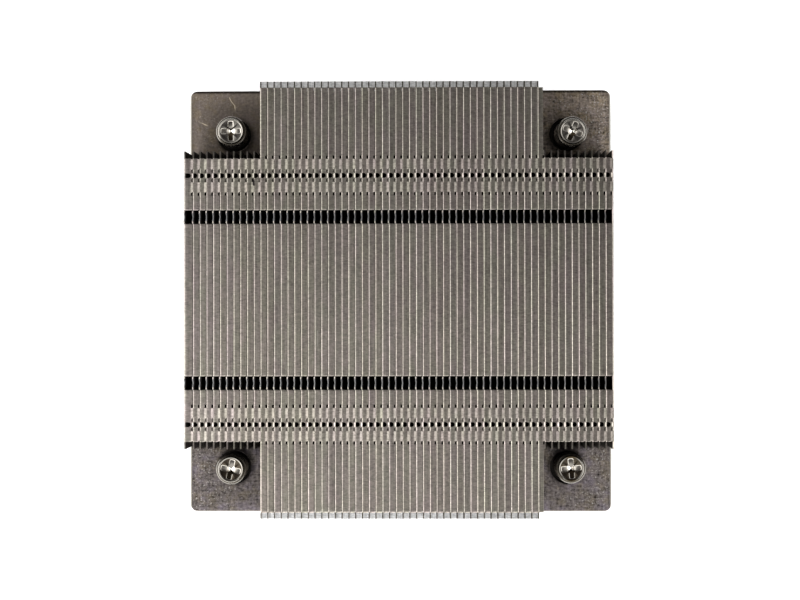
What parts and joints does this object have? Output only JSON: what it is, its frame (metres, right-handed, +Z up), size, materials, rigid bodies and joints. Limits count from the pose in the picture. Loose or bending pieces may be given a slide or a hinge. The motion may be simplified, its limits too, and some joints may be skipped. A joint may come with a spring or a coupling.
{
  "type": "passive server cpu heatsink",
  "caption": "Low square heatsink: rows of folded sheet fins soldered on a flat base plate, with a sprung captive screw in each open corner.",
  "frame": {"origin": "middle of the machined land under the base plate, the flat face that presses on the processor", "axes": "+X across the fins towards the side that their edges fold to, +Y along the fins, +Z up from the underside through the fins"},
  "size_m": [0.095, 0.095, 0.0318],
  "materials": {
    "plate": "dull brushed nickel plate",
    "fins": "satin nickel-plated sheet with fine rolling grain",
    "screw": "bright nickel-plated steel",
    "spring": "nickel-plated spring wire",
    "clip": "plain stamped spring steel"
  },
  "bodies": {
    "heatsink": {"base_plate": "plate", "long_fin_01": "fins", "long_fin_02": "fins", "long_fin_03": "fins", "long_fin_04": "fins", "long_fin_05": "fins", "long_fin_06": "fins", "long_fin_07": "fins", "long_fin_08": "fins", "long_fin_09": "fins", "long_fin_10": "fins", "long_fin_11": "fins", "long_fin_12": "fins", "long_fin_13": "fins", "long_fin_14": "fins", "long_fin_15": "fins", "long_fin_16": "fins", "long_fin_17": "fins", "long_fin_18": "fins", "long_fin_19": "fins", "long_fin_20": "fins", "long_fin_21": "fins", "long_fin_22": "fins", "long_fin_23": "fins", "long_fin_24": "fins", "long_fin_25": "fins", "long_fin_26": "fins", "long_fin_27": "fins", "long_fin_28": "fins", "long_fin_29": "fins", "long_fin_30": "fins", "long_fin_31": "fins", "long_fin_32": "fins", "long_fin_33": "fins", "long_fin_34": "fins", "long_fin_35": "fins", "long_fin_36": "fins", "long_fin_37": "fins", "long_fin_38": "fins", "long_fin_39": "fins", "long_fin_40": "fins", "long_fin_41": "fins", "long_fin_42": "fins", "left_short_fins": "fins", "right_short_fins": "fins", "spring_back_left": "spring", "spring_back_right": "spring", "spring_front_left": "spring", "spring_front_right": "spring"},
    "back_left_clip": {"clip_back_left": "clip"},
    "back_left_screw": {"screw_back_left": "screw"},
    "back_right_clip": {"clip_back_right": "clip"},
    "back_right_screw": {"screw_back_right": "screw"},
    "front_left_clip": {"clip_front_left": "clip"},
    "front_left_screw": {"screw_front_left": "screw"},
    "front_right_clip": {"clip_front_right": "clip"},
    "front_right_screw": {"screw_front_right": "screw"}
  },
  "joints": [
    {"name": "back_left_press", "type": "slide", "parent": "heatsink", "child": "back_left_clip", "axis": [0, 0, 1], "range_m": [-0.0045, 0], "stiffness_N_per_m": 2500, "springref_m": 0.004, "deforming": ["spring_back_left"]},
    {"name": "back_left_turn", "type": "hinge", "parent": "back_left_clip", "child": "back_left_screw", "pos_m": [-0.0375, 0.0375, 0], "axis": [0, 0, 1], "continuous": true},
    {"name": "back_right_press", "type": "slide", "parent": "heatsink", "child": "back_right_clip", "axis": [0, 0, 1], "range_m": [-0.0045, 0], "stiffness_N_per_m": 2500, "springref_m": 0.004, "deforming": ["spring_back_right"]},
    {"name": "back_right_turn", "type": "hinge", "parent": "back_right_clip", "child": "back_right_screw", "pos_m": [0.0375, 0.0375, 0], "axis": [0, 0, 1], "continuous": true},
    {"name": "front_left_press", "type": "slide", "parent": "heatsink", "child": "front_left_clip", "axis": [0, 0, 1], "range_m": [-0.0045, 0], "stiffness_N_per_m": 2500, "springref_m": 0.004, "deforming": ["spring_front_left"]},
    {"name": "front_left_turn", "type": "hinge", "parent": "front_left_clip", "child": "front_left_screw", "pos_m": [-0.0375, -0.0375, 0], "axis": [0, 0, 1], "continuous": true},
    {"name": "front_right_press", "type": "slide", "parent": "heatsink", "child": "front_right_clip", "axis": [0, 0, 1], "range_m": [-0.0045, 0], "stiffness_N_per_m": 2500, "springref_m": 0.004, "deforming": ["spring_front_right"]},
    {"name": "front_right_turn", "type": "hinge", "parent": "front_right_clip", "child": "front_right_screw", "pos_m": [0.0375, -0.0375, 0], "axis": [0, 0, 1], "continuous": true}
  ]
}
